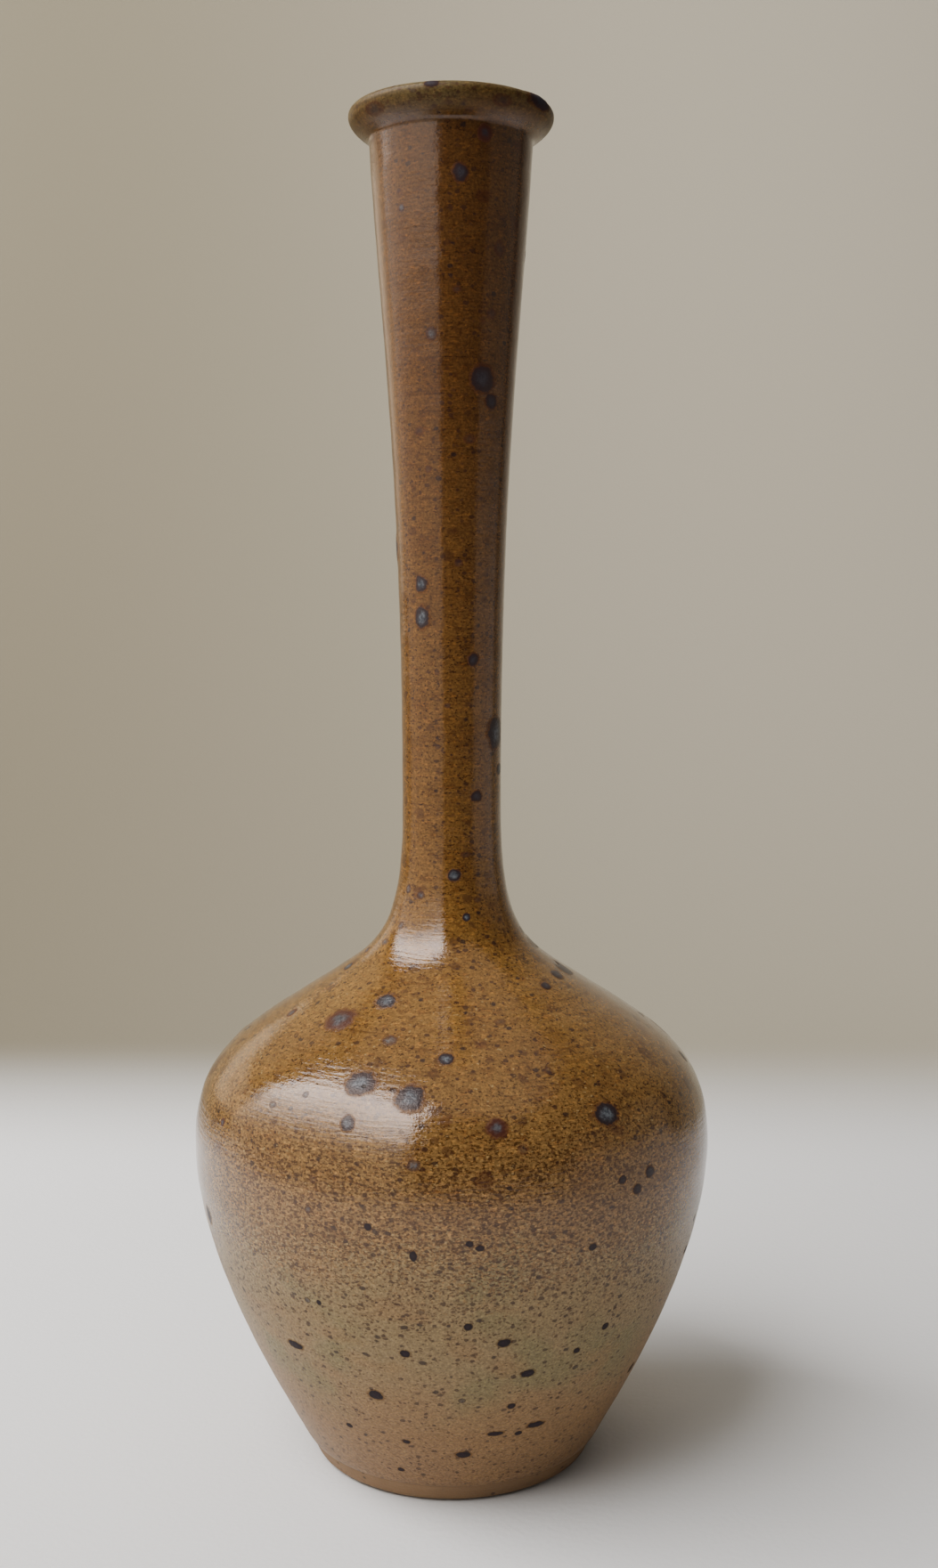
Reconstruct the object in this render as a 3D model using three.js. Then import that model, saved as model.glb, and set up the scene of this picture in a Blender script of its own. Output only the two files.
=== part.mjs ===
// A wheel-thrown stoneware bud vase: a low round belly that closes in to a tall, slender neck
// under a small flared lip. Millimetres, +Z up, origin at the centre of the resting plane.
//
// The clay is in the sections that a potter throws and lutes together: a base disc with a turned
// foot, the belly, the domed shoulder, the neck and the lip. Two coats of fired glaze lie on the
// clay, one outside and one inside, and they meet on top of the lip.
import * as THREE from 'three';

// ---------- Driving dimensions, in millimetres and degrees ----------

// Heights of the clay, each from the top of the stretch below it.
const FOOT_HEIGHT = 9;
const BELLY_HEIGHT = 71;
const SHOULDER_HEIGHT = 42;
const THROAT_HEIGHT = 40;
const NECK_HEIGHT = 160;
const LIP_HEIGHT = 7.5;

// Outside radii of the bare clay.
const FOOT_RADIUS = 34.2;
const BELLY_RADIUS = 63.7;
const NECK_ROOT_RADIUS = 27.3;
const WAIST_RADIUS = 11.7;
const NECK_TOP_RADIUS = 19.2;
const LIP_RADIUS = 24.2;

// Leans of the wall from upright, positive outwards, where two stretches meet.
const FOOT_LEAN = 26.5;
const NECK_ROOT_LEAN = -56.5;
const NECK_TOP_LEAN = 3;

// How far each stretch holds the lean of its lower and upper end, in parts of its own span.
const BELLY_HOLD = [0.07, 0.38];
const SHOULDER_HOLD = [0.39, 0.54];
const THROAT_HOLD = [0.27, 0.67];
const FLARE_HOLD = [0.55, 0.25];

// Thickness of the clay and of the two glazes.
const BELLY_WALL = 5;
const NECK_WALL = 4;
const FLOOR_THICKNESS = 8;
const OUTER_GLAZE = 0.5;
const INNER_GLAZE = 0.4;

// The turned foot: a flat ring to stand on, round a shallow recess.
const FOOT_BEVEL = 1;
const FOOT_RING_WIDTH = 7;
const RECESS_DEPTH = 2.5;
const RECESS_SLOPE = 2;
const GLAZE_LINE = 5;
const FLOOR_FILLET = 9;

// The lip: a rolled flange that turns out of the neck a little above its top.
const LIP_ROOT_RISE = 1.3;
const LIP_UNDERSIDE_RISE = 32;
const LIP_EDGE_RADIUS = 1.2;

// Flats round every turned piece, and steps up each stretch of its outline.
const FACETS = 36;
const FOOT_STEPS = 1;
const BELLY_STEPS = 7;
const SHOULDER_STEPS = 7;
const THROAT_STEPS = 5;
const FLARE_STEPS = 4;
const FILLET_STEPS = 3;

// ---------- Points on the section: x is the radius, y is the height ----------

const BELLY_TOP = FOOT_HEIGHT + BELLY_HEIGHT;
const SHOULDER_TOP = BELLY_TOP + SHOULDER_HEIGHT;
const WAIST_TOP = SHOULDER_TOP + THROAT_HEIGHT;
const NECK_TOP = WAIST_TOP + NECK_HEIGHT;
const LIP_TOP = NECK_TOP + LIP_HEIGHT;

const radians = THREE.MathUtils.degToRad;

// The direction of a wall that goes up at a lean from upright.
function heading(lean) {
  return new THREE.Vector2(Math.sin(radians(lean)), Math.cos(radians(lean)));
}

// The corner where a line from `a` along `u` meets a line through `b` along `v`.
function corner(a, u, b, v) {
  const reach = b.clone().sub(a).cross(v) / u.cross(v);
  return a.clone().addScaledVector(u, reach);
}

// A smooth stretch of wall from `low` to `high`, which keeps the lean that it has at each end.
function stretch(low, lowLean, high, highLean, [lowHold, highHold]) {
  const span = low.distanceTo(high);
  return new THREE.CubicBezierCurve(
    low,
    low.clone().addScaledVector(heading(lowLean), lowHold * span),
    high.clone().addScaledVector(heading(highLean), -highHold * span),
    high,
  );
}

// Evenly spaced stations along a curve. Each has a point and the normal to the right of the way.
function stationsAlong(curve, steps) {
  return Array.from({ length: steps + 1 }, (_, i) => {
    const along = curve.getTangentAt(i / steps);
    return { point: curve.getPointAt(i / steps), normal: new THREE.Vector2(along.y, -along.x) };
  });
}

// Joins runs of stations end to end, keeping one station where two runs meet.
function joined(...runs) {
  return runs.reduce((line, run) => [...line, ...run.slice(1)]);
}

// The stations of a surface that lies at a thickness to the left of a line of stations, and
// faces the other way.
function behind(run, thicknessAt) {
  return run.map(({ point, normal }, i) => ({
    point: point.clone().addScaledVector(normal, -thicknessAt(i)),
    normal: normal.clone().negate(),
  }));
}

// The points of a coat of glaze at a thickness in front of a line of stations.
function coated(run, thickness) {
  return run.map(({ point, normal }) => point.clone().addScaledVector(normal, thickness));
}

const pointsOf = (run) => run.map(({ point }) => point);
const backwards = (run) => [...run].reverse();

// ---------- The clay, outside, from the glaze line to the top of the neck ----------

const footWallAt = (height) =>
  new THREE.Vector2(FOOT_RADIUS + height * Math.tan(radians(FOOT_LEAN)), height);

const footTop = footWallAt(FOOT_HEIGHT);
const widest = new THREE.Vector2(BELLY_RADIUS, BELLY_TOP);
const neckRoot = new THREE.Vector2(NECK_ROOT_RADIUS, SHOULDER_TOP);
const waist = new THREE.Vector2(WAIST_RADIUS, WAIST_TOP);
const neckTop = new THREE.Vector2(NECK_TOP_RADIUS, NECK_TOP);

const outside = joined(
  stationsAlong(new THREE.LineCurve(footWallAt(GLAZE_LINE), footTop), FOOT_STEPS),
  stationsAlong(stretch(footTop, FOOT_LEAN, widest, 0, BELLY_HOLD), BELLY_STEPS),
  stationsAlong(stretch(widest, 0, neckRoot, NECK_ROOT_LEAN, SHOULDER_HOLD), SHOULDER_STEPS),
  stationsAlong(stretch(neckRoot, NECK_ROOT_LEAN, waist, 0, THROAT_HOLD), THROAT_STEPS),
  stationsAlong(stretch(waist, 0, neckTop, NECK_TOP_LEAN, FLARE_HOLD), FLARE_STEPS),
);

// ---------- The clay, inside: a wall thickness in from the outside ----------

// The thrown wall is outside and inside from the foot up. It thins evenly over the shoulder.
const wallOutside = outside.slice(FOOT_STEPS);
const bellyEnd = BELLY_STEPS;
const shoulderEnd = bellyEnd + SHOULDER_STEPS;
const neckEnd = shoulderEnd + THROAT_STEPS + FLARE_STEPS;
const wallInside = behind(wallOutside, (i) => {
  const overShoulder = THREE.MathUtils.clamp((i - bellyEnd) / SHOULDER_STEPS, 0, 1);
  return THREE.MathUtils.lerp(BELLY_WALL, NECK_WALL, overShoulder);
});

// The floor is flat in the middle and sweeps up into the wall.
const floorCentre = new THREE.Vector2(0, FLOOR_THICKNESS);
const wallStart = wallInside[0].point;
const across = new THREE.Vector2(1, 0);
const floorCorner = corner(wallStart, heading(FOOT_LEAN), floorCentre, across);
const floorEdge = floorCorner.clone().addScaledVector(across, -FLOOR_FILLET);
const floorSweep = new THREE.QuadraticBezierCurve(floorEdge, floorCorner, wallStart);
const floor = behind(joined(
  stationsAlong(new THREE.LineCurve(floorCentre, floorEdge), 1),
  stationsAlong(floorSweep, FILLET_STEPS),
), () => 0);

// ---------- The lip: underside, rounded edge, flat crest and the roll into the mouth ----------

const lipRoot = neckTop.clone().addScaledVector(heading(NECK_TOP_LEAN), LIP_ROOT_RISE);
const edgeCentre = new THREE.Vector2(LIP_RADIUS - LIP_EDGE_RADIUS, LIP_TOP - LIP_EDGE_RADIUS);
const lipEdge = new THREE.EllipseCurve(
  edgeCentre.x, edgeCentre.y, LIP_EDGE_RADIUS, LIP_EDGE_RADIUS, 0, Math.PI / 2,
);
const edgeStart = lipEdge.getPointAt(0);
const undersideHeading = heading(90 - LIP_UNDERSIDE_RISE);
const undersideCorner = corner(lipRoot, undersideHeading, edgeStart, heading(0));
const mouthTop = wallInside[neckEnd].point;
const crest = new THREE.Vector2((mouthTop.x + edgeCentre.x) / 2, LIP_TOP);
const mouthCorner = corner(mouthTop, heading(NECK_TOP_LEAN), crest, across);

const lipUnderside = new THREE.QuadraticBezierCurve(lipRoot, undersideCorner, edgeStart);
const mouthRoll = new THREE.QuadraticBezierCurve(crest, mouthCorner, mouthTop);

const lipOutside = joined(
  stationsAlong(new THREE.LineCurve(neckTop, lipRoot), 1),
  stationsAlong(lipUnderside, FILLET_STEPS),
  stationsAlong(lipEdge, FILLET_STEPS),
  stationsAlong(new THREE.LineCurve(lipEdge.getPointAt(1), crest), 1),
);
const lipInside = stationsAlong(mouthRoll, FILLET_STEPS);

// ---------- Pieces ----------

const vase = new THREE.Group();

// Adds a turned piece. Its outline is closed, or starts and ends on the axis.
function addTurned(name, outline, { color, roughness }) {
  const profile = THREE.ShapeUtils.isClockWise(outline) ? [...outline].reverse() : [...outline];
  const onAxis = profile[0].x === 0 || profile[profile.length - 1].x === 0;
  if (!onAxis) profile.push(profile[0]);
  const geometry = new THREE.LatheGeometry(profile, FACETS).rotateX(Math.PI / 2);
  const material = new THREE.MeshStandardMaterial({ color, roughness, metalness: 0 });
  const mesh = new THREE.Mesh(geometry, material);
  mesh.name = name;
  vase.add(mesh);
}

const toastedClay = { color: 0xb4865a, roughness: 0.7 };
const buffClay = { color: 0xc9ab84, roughness: 0.8 };
const amberGlaze = { color: 0xa87a45, roughness: 0.2 };
const linerGlaze = { color: 0x9c7748, roughness: 0.3 };

const ringOutside = FOOT_RADIUS - FOOT_BEVEL;
const ringInside = ringOutside - FOOT_RING_WIDTH;
addTurned('foot', [
  new THREE.Vector2(0, RECESS_DEPTH),
  new THREE.Vector2(ringInside - RECESS_SLOPE, RECESS_DEPTH),
  new THREE.Vector2(ringInside, 0),
  new THREE.Vector2(ringOutside, 0),
  footWallAt(FOOT_BEVEL),
  ...pointsOf(outside.slice(0, FOOT_STEPS + 1)),
  ...pointsOf(backwards(floor)),
], toastedClay);

for (const [name, low, high] of [
  ['belly', 0, bellyEnd],
  ['shoulder', bellyEnd, shoulderEnd],
  ['neck', shoulderEnd, neckEnd],
]) {
  const front = wallOutside.slice(low, high + 1);
  const back = wallInside.slice(low, high + 1);
  addTurned(name, pointsOf([...front, ...backwards(back)]), buffClay);
}

addTurned('lip', pointsOf(joined(lipOutside, lipInside)), buffClay);

// The coat outside begins at the clay, with a feather edge on the glaze line, and the two coats
// meet face to face on the crest of the lip. The coat inside covers the floor to the axis.
const glazed = joined(outside, lipOutside);
const glazeFace = coated(glazed.slice(1), OUTER_GLAZE);
addTurned('outer_glaze', [...pointsOf(glazed), ...backwards(glazeFace)], amberGlaze);

const lined = joined(floor, wallInside, backwards(lipInside));
const linerFace = coated(lined, INNER_GLAZE);
addTurned('inner_glaze', [...pointsOf(lined), ...backwards(linerFace)], linerGlaze);

export default vase;
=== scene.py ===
# %% [markdown]
# # A speckled stoneware bud vase
#
# This lesson dresses a bud vase in Blender. The vase is thrown on a wheel: a low round belly, a
# tall slender neck and a small flared lip. Its amber glaze breaks into dark specks, and iron in
# the clay has melted through it in slate-blue spots. Low on the belly the glaze thins out over
# toasted clay.
#
# The plain model of the vase already exists. It is loaded as a frame that is never moved, and
# every piece made here takes its size and place from it. Lengths in the frame are metres.

# %% Load the frame
import math
import random

import bpy
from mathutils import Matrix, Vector


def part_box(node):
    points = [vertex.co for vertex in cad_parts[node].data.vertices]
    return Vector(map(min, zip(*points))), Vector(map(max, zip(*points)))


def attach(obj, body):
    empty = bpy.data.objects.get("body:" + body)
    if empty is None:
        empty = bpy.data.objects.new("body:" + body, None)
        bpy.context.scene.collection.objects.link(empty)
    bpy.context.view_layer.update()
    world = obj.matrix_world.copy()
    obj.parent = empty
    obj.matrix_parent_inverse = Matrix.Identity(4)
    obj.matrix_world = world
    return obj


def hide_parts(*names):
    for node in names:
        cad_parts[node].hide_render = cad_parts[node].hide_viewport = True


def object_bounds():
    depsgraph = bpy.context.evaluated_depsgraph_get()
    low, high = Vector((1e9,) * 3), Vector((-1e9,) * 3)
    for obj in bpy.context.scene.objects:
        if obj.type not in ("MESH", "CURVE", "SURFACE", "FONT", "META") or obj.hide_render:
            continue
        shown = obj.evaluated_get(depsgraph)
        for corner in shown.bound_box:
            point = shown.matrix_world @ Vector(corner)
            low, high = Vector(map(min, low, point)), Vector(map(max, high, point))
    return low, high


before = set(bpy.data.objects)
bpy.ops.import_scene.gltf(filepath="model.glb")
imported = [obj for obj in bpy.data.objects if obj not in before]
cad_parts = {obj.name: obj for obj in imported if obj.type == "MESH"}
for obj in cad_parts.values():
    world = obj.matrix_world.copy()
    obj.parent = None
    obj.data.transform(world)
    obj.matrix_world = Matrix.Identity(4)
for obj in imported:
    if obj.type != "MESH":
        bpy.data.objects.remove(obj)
cad_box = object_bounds()
print("frame:", sorted(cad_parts), "height", round(cad_box[1].z, 4), "m")

# %% [markdown]
# ## The sizes of the vase
#
# A turned pot is known by its outline: a radius for each height. The frame's pieces give the
# main points of it, because each clay section ends where the next begins. The leans of the wall
# at those points, and how long the curve holds them, are the potter's line. They are written
# here once. Outlines are worked out in millimetres, which suit a pot better than metres do.

# %% Main points of the outline, in millimetres
MM = 0.001


def lowest(node):
    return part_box(node)[0].z / MM


def highest(node):
    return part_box(node)[1].z / MM


def widest(node):
    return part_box(node)[1].x / MM


FOOT_RADIUS = 34.2
WAIST_RADIUS = 11.7
WAIST_HEIGHT = 162
NECK_TOP_RADIUS = 19.2

foot_top = Vector((widest("foot"), lowest("belly")))
belly_top = Vector((widest("belly"), highest("belly")))
neck_root = Vector((widest("neck"), highest("shoulder")))
waist = Vector((WAIST_RADIUS, WAIST_HEIGHT))
neck_top = Vector((NECK_TOP_RADIUS, lowest("lip")))
lip_top = highest("lip")

GLAZE = widest("outer_glaze") - widest("belly")
GLAZE_LINE = lowest("outer_glaze")
LINER = 0.4
BELLY_WALL = 5
NECK_WALL = 4
print("belly radius", round(belly_top.x, 2), "mm, glaze", round(GLAZE, 2), "mm thick")

# %% [markdown]
# ## Drawing an outline
#
# An outline could be typed in as a long list of points, but then nobody could change it. Here
# each stretch of wall is a Bezier curve between two main points. It leaves and arrives at a
# known lean, so one stretch runs into the next without a kink. A corner is rounded by a bend or
# an arc. Every curve is cut into steps of a chosen length: short steps where the surface will
# carry fine throwing lines, long ones where nobody looks.

# %% Stretches, bends and arcs
def heading(lean):
    """The way a wall goes up at a lean from upright, in degrees, positive outwards."""
    return Vector((math.sin(math.radians(lean)), math.cos(math.radians(lean))))


def even_steps(curve, step):
    """Points along a curve of t from 0 to 1, about a step apart, with both ends."""
    fine = [curve(i / 400) for i in range(401)]
    along = [0.0]
    for a, b in zip(fine, fine[1:]):
        along.append(along[-1] + (b - a).length)
    count = max(1, round(along[-1] / step))
    points, i = [], 0
    for k in range(count + 1):
        goal = along[-1] * k / count
        while i < len(fine) - 2 and along[i + 1] < goal:
            i += 1
        share = (goal - along[i]) / max(along[i + 1] - along[i], 1e-9)
        points.append(fine[i].lerp(fine[i + 1], min(share, 1)))
    return points


def stretch(low, low_lean, high, high_lean, holds, step):
    """A stretch of wall that keeps its lean at each end, for a share of its span."""
    span = (high - low).length
    a = low + heading(low_lean) * span * holds[0]
    b = high - heading(high_lean) * span * holds[1]

    def curve(t):
        s = 1 - t
        return low * s**3 + a * 3 * s * s * t + b * 3 * s * t * t + high * t**3

    return even_steps(curve, step)


def bend(start, corner, end, step):
    """A smooth bend that rounds a corner."""
    return even_steps(lambda t: start.lerp(corner, t).lerp(corner.lerp(end, t), t), step)


def arc(centre, radius, from_degrees, to_degrees, step):
    """Part of a circle."""
    def curve(t):
        angle = math.radians(from_degrees + (to_degrees - from_degrees) * t)
        return centre + Vector((math.cos(angle), math.sin(angle))) * radius

    return even_steps(curve, step)


def meeting(a, along_a, b, along_b):
    """The corner where two lines cross."""
    gap = b - a
    cross = along_a.x * along_b.y - along_a.y * along_b.x
    return a + along_a * ((gap.x * along_b.y - gap.y * along_b.x) / cross)


def joined(*runs):
    """Runs of points end to end, with one point where two meet."""
    line = list(runs[0])
    for run in runs[1:]:
        line += run[1:] if (run[0] - line[-1]).length < 1e-4 else run
    return line


def offset(points, distance):
    """The points moved out to the right of their way, by a distance or a list of distances."""
    if not isinstance(distance, list):
        distance = [distance] * len(points)
    moved = []
    for i, point in enumerate(points):
        way = points[min(i + 1, len(points) - 1)] - points[max(i - 1, 0)]
        way.normalize()
        moved.append(point + Vector((way.y, -way.x)) * distance[i])
    return moved


# %% [markdown]
# ## The wall of clay
#
# The clay is one fired wall, thrown in four sections over a base disc. Its outside is drawn as
# four stretches, from the foot to the lip. Its inside follows at the thickness of the wall,
# which thins over the shoulder. The same two lines serve the clay and both coats of glaze, so
# nothing has to be fitted later.

# %% The outside and the inside of the wall
FOOT_LEAN, ROOT_LEAN, TOP_LEAN = 26.5, -56.5, 3


def wall_line(belly_step, shoulder_step, neck_step):
    """The outside of the clay from the foot's top to the lip, as belly, shoulder and neck."""
    return (
        stretch(foot_top, FOOT_LEAN, belly_top, 0, (0.07, 0.38), belly_step),
        stretch(belly_top, 0, neck_root, ROOT_LEAN, (0.39, 0.54), shoulder_step),
        joined(
            stretch(neck_root, ROOT_LEAN, waist, 0, (0.27, 0.67), neck_step),
            stretch(waist, 0, neck_top, TOP_LEAN, (0.55, 0.25), neck_step),
        ),
    )


def thickness_at(height):
    """The clay's thickness at a height on its outside."""
    over = (height - belly_top.y) / (neck_root.y - belly_top.y)
    return BELLY_WALL + (NECK_WALL - BELLY_WALL) * min(max(over, 0), 1)


CLAY_STEP = 2.5
sections = wall_line(CLAY_STEP, CLAY_STEP, CLAY_STEP)
clay_outside = joined(*sections)
clay_inside = offset(clay_outside, [-thickness_at(p.y) for p in clay_outside])
mouth_top = clay_inside[-1]
print("wall:", len(clay_outside), "points, bore", round(2 * min(p.x for p in clay_inside), 1), "mm")

# %% [markdown]
# ## Nodes from a script
#
# Geometry trees and materials are both built of nodes. `put` adds a node and feeds its inputs
# in order, each with a value or with another node's output. `Wire` wraps an output so that sums
# can be written on it: every `+` or `*` adds a Math node. `wire` does both at once.

# %% Helpers for nodes
def put(tree, kind, *sources, **settings):
    """Adds a node with settings, and feeds its usable inputs in order. None skips one."""
    node = tree.nodes.new(kind)
    for name, value in settings.items():
        setattr(node, name, value)
    sockets = [socket for socket in node.inputs if socket.enabled]
    for socket, source in zip(sockets, sources):
        if isinstance(source, Wire):
            tree.links.new(source.socket, socket)
        elif source is not None:
            socket.default_value = source
    return node


class Wire:
    """An output of a node, on which sums can be written."""

    def __init__(self, tree, socket):
        self.tree, self.socket = tree, socket

    def math(self, operation, *others):
        return wire(self.tree, "ShaderNodeMath", self, *others, operation=operation)

    def __add__(self, other):
        return self.math("ADD", other)

    def __sub__(self, other):
        return self.math("SUBTRACT", other)

    def __mul__(self, other):
        return self.math("MULTIPLY", other)

    def __truediv__(self, other):
        return self.math("DIVIDE", other)

    def rising(self, low, high):
        """0 below low, 1 above high and a smooth step between, or falling if low > high."""
        return wire(
            self.tree, "ShaderNodeMapRange", self, low, high, 0.0, 1.0,
            interpolation_type="SMOOTHSTEP",
        )


def out(node, name=0):
    """A node's output as a Wire, by its name or its place."""
    return Wire(node.id_data, node.outputs[name])


def wire(tree, kind, *sources, output=0, **settings):
    """Adds a node and gives one of its outputs as a Wire."""
    return out(put(tree, kind, *sources, **settings), output)


def xyz(vector):
    """The three parts of a vector."""
    node = put(vector.tree, "ShaderNodeSeparateXYZ", vector)
    return out(node, "X"), out(node, "Y"), out(node, "Z")


def scaled(vector, factor):
    """A vector times a number."""
    node = put(vector.tree, "ShaderNodeVectorMath", vector, operation="SCALE")
    vector.tree.links.new(factor.socket, node.inputs["Scale"])
    return out(node)


def new_tree(name, inputs):
    """A geometry tree with named inputs, and its input node."""
    tree = bpy.data.node_groups.new(name, "GeometryNodeTree")
    for label, kind, value in inputs:
        socket = tree.interface.new_socket(label, in_out="INPUT", socket_type=kind)
        if value is not None:
            socket.default_value = value
    tree.interface.new_socket("Geometry", in_out="OUTPUT", socket_type="NodeSocketGeometry")
    return tree, put(tree, "NodeGroupInput")


def attribute(tree, name, kind="FLOAT"):
    """What the points carry under a name."""
    return wire(tree, "GeometryNodeInputNamedAttribute", name, data_type=kind)


def store(geometry, name, field, kind="FLOAT"):
    """Writes a field on the points under a name."""
    return wire(
        geometry.tree, "GeometryNodeStoreNamedAttribute", geometry, None, name, field,
        data_type=kind,
    )


def place_nodes(tree):
    """Lays the nodes out in columns by how far each is from the inputs, for anyone who opens it."""
    depth = {}

    def depth_of(node):
        if node not in depth:
            depth[node] = 0
            sources = [link.from_node for s in node.inputs for link in s.links]
            depth[node] = 1 + max((depth_of(n) for n in sources), default=-1)
        return depth[node]

    filled = {}
    for node in tree.nodes:
        column = depth_of(node)
        filled[column] = filled.get(column, 0) + 1
        node.location = (column * 220, -filled[column] * 260)


def closed(tree, *sources):
    """Ends a tree with its output node and lays it out."""
    put(tree, "NodeGroupOutput", *sources)
    place_nodes(tree)
    return tree


# %% [markdown]
# ## Turning a piece on the wheel
#
# Every piece of the vase is an outline swept round the axis. The Screw modifier or the Spin
# tool could do that, but a geometry tree does more: it sweeps the outline and presses the marks
# of throwing into the wall in the same pass. The tree makes a flat grid with a row for each
# point of the outline and a column for each turn, and wraps it round the axis. Then it moves
# each point along its normal: fine lines that climb in a spiral as the potter's finger did, a
# slow swell, and a slight unevenness, because no hand-thrown wall is true.
#
# The outline carries two values on its points: how far along it they are, and how strongly the
# throwing marks show there.

# %% The tree that turns a piece
FULL_TURN = 2 * math.pi
SEAM_GAP = 1e-6


def turning_tree():
    tree, given = new_tree("Turned piece", [
        ("Outline", "NodeSocketObject", None),
        ("Around", "NodeSocketInt", 96),
        ("Line depth", "NodeSocketFloat", 0.0),
        ("Line pitch", "NodeSocketFloat", 0.0015),
        ("Swell depth", "NodeSocketFloat", 0.0),
        ("Swell pitch", "NodeSocketFloat", 0.011),
        ("Unevenness", "NodeSocketFloat", 0.0),
        ("Material", "NodeSocketMaterial", None),
    ])
    outline = wire(tree, "GeometryNodeObjectInfo", out(given, "Outline"), output="Geometry")
    rows = wire(tree, "GeometryNodeAttributeDomainSize", outline, output="Point Count")
    around = out(given, "Around")

    # The flat grid, and the row and column that each of its points is in.
    grid = wire(tree, "GeometryNodeMeshGrid", 1.0, 1.0, around + 1.0, rows, output="Mesh")
    across, up, _ = xyz(wire(tree, "GeometryNodeInputPosition"))
    column = ((across + 0.5) * around).math("ROUND")
    row = ((up + 0.5) * (rows - 1.0)).math("ROUND")
    turn = column * FULL_TURN / around

    def from_outline(field, kind="FLOAT"):
        return wire(tree, "GeometryNodeSampleIndex", outline, field, row, data_type=kind)

    position = wire(tree, "GeometryNodeInputPosition")
    radius, _, height = xyz(from_outline(position, "FLOAT_VECTOR"))
    for name, field in (
        ("turn", turn),
        ("along", from_outline(attribute(tree, "along"))),
        ("marks", from_outline(attribute(tree, "marks"))),
    ):
        grid = store(grid, name, field)
    wrapped = wire(
        tree, "ShaderNodeCombineXYZ",
        radius * turn.math("COSINE"), radius * turn.math("SINE"), height,
    )
    wall = wire(tree, "GeometryNodeSetPosition", grid, None, wrapped)
    wall = wire(tree, "GeometryNodeMergeByDistance", wall, None, SEAM_GAP)

    # The marks of throwing, as a height along each point's normal.
    def waver(scale, detail=1.0):
        return wire(tree, "ShaderNodeTexNoise", None, scale, detail) - 0.5

    wander = waver(60.0) * 0.0012
    along, marks = attribute(tree, "along") + wander, attribute(tree, "marks")

    def spiral(pitch):
        return (along * FULL_TURN / out(given, pitch) + attribute(tree, "turn")).math("SINE")

    lines = spiral("Line pitch")
    broken = (waver(140.0, 2.0) * 3.0 + 0.9).math("MAXIMUM", 0.1)
    lines = lines * broken * out(given, "Line depth")
    swell = spiral("Swell pitch")
    swell = swell * (waver(30.0) + 0.8) * out(given, "Swell depth")
    uneven = waver(22.0) * out(given, "Unevenness")
    relief = (lines + swell + uneven) * marks
    push = scaled(wire(tree, "GeometryNodeInputNormal"), relief)
    wall = wire(tree, "GeometryNodeSetPosition", wall, None, None, push)
    for name in ("turn", "along", "marks"):
        wall = wire(tree, "GeometryNodeRemoveAttribute", wall, name)
    wall = wire(tree, "GeometryNodeSetShadeSmooth", wall)
    wall = wire(tree, "GeometryNodeRealizeInstances", wall)
    wall = wire(tree, "GeometryNodeSetMaterial", wall, None, out(given, "Material"))
    return closed(tree, wall)


TURNING = turning_tree()
print("turning tree:", len(TURNING.nodes), "nodes")

# %% [markdown]
# ## Running a tree
#
# A tree works through a modifier. Its inputs are set by their identifiers before the object is
# first worked out. The result is copied to a plain mesh, and the modifier and the helper
# objects are thrown away. What is left is an ordinary piece that stands in its true place with
# its object at the origin.

# %% From a tree to a finished piece
def add_object(name, data):
    """A new object in the scene, at the origin."""
    thing = bpy.data.objects.new(name, data)
    bpy.context.scene.collection.objects.link(thing)
    return thing


def run_tree(name, tree, inputs):
    """Makes a piece from a geometry tree with these named inputs."""
    piece = add_object(name, bpy.data.meshes.new(name))
    modifier = piece.modifiers.new(tree.name, "NODES")
    modifier.node_group = tree
    for socket in tree.interface.items_tree:
        if socket.in_out == "INPUT" and socket.name in inputs:
            modifier[socket.identifier] = inputs[socket.name]
    bpy.context.view_layer.update()
    graph = bpy.context.evaluated_depsgraph_get()
    made = bpy.data.meshes.new_from_object(piece.evaluated_get(graph))
    made.name = name
    piece.modifiers.clear()
    piece.data = made
    return piece


def helper_mesh(name, points, edges, values):
    """A mesh of points and edges that carries named values, for a tree to read."""
    mesh = bpy.data.meshes.new(name)
    mesh.from_pydata(points, edges, [])
    for label, (kind, numbers) in values.items():
        layer = mesh.attributes.new(label, kind, "POINT")
        flat = [x for n in numbers for x in n] if kind == "FLOAT_VECTOR" else numbers
        layer.data.foreach_set("vector" if kind == "FLOAT_VECTOR" else "value", flat)
    return add_object(name, mesh)


def turn_piece(name, outline, material, around, marks=None, **relief):
    """Sweeps an outline in millimetres round the axis, with the throwing marks it carries."""
    along = [0.0]
    for a, b in zip(outline, outline[1:]):
        along.append(along[-1] + (b - a).length * MM)
    helper = helper_mesh(
        "outline_of_" + name,
        [(p.x * MM, 0, p.y * MM) for p in outline],
        [(i, i + 1) for i in range(len(outline) - 1)],
        {"along": ("FLOAT", along), "marks": ("FLOAT", marks or [0.0] * len(outline))},
    )
    sizes = {label.replace("_", " ").capitalize(): size for label, size in relief.items()}
    piece = run_tree(name, TURNING, {
        "Outline": helper, "Around": around, "Material": material, **sizes,
    })
    bpy.data.objects.remove(helper)
    print(name, "turned:", len(outline), "rows,", len(piece.data.polygons), "faces")
    return piece


# %% [markdown]
# ## The glaze as a material
#
# The glaze changes all the way down: dark amber on the neck, ochre on the shoulder, a band
# packed with dark specks at the widest point, then a thin greenish beige and at last toasted
# clay. Painting that on an image would fix its resolution, so it is worked out from the place
# of each point instead: height gives the main colour, and noise and Voronoi cells break it up
# into streaks, specks and flecks. It is one node group, so that the iron spots can fade into
# exactly the same glaze.

# %% Helpers for colour
def place_in(tree):
    """The place of each point on its own piece, in metres."""
    return wire(tree, "ShaderNodeTexCoord", output="Object")


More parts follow.
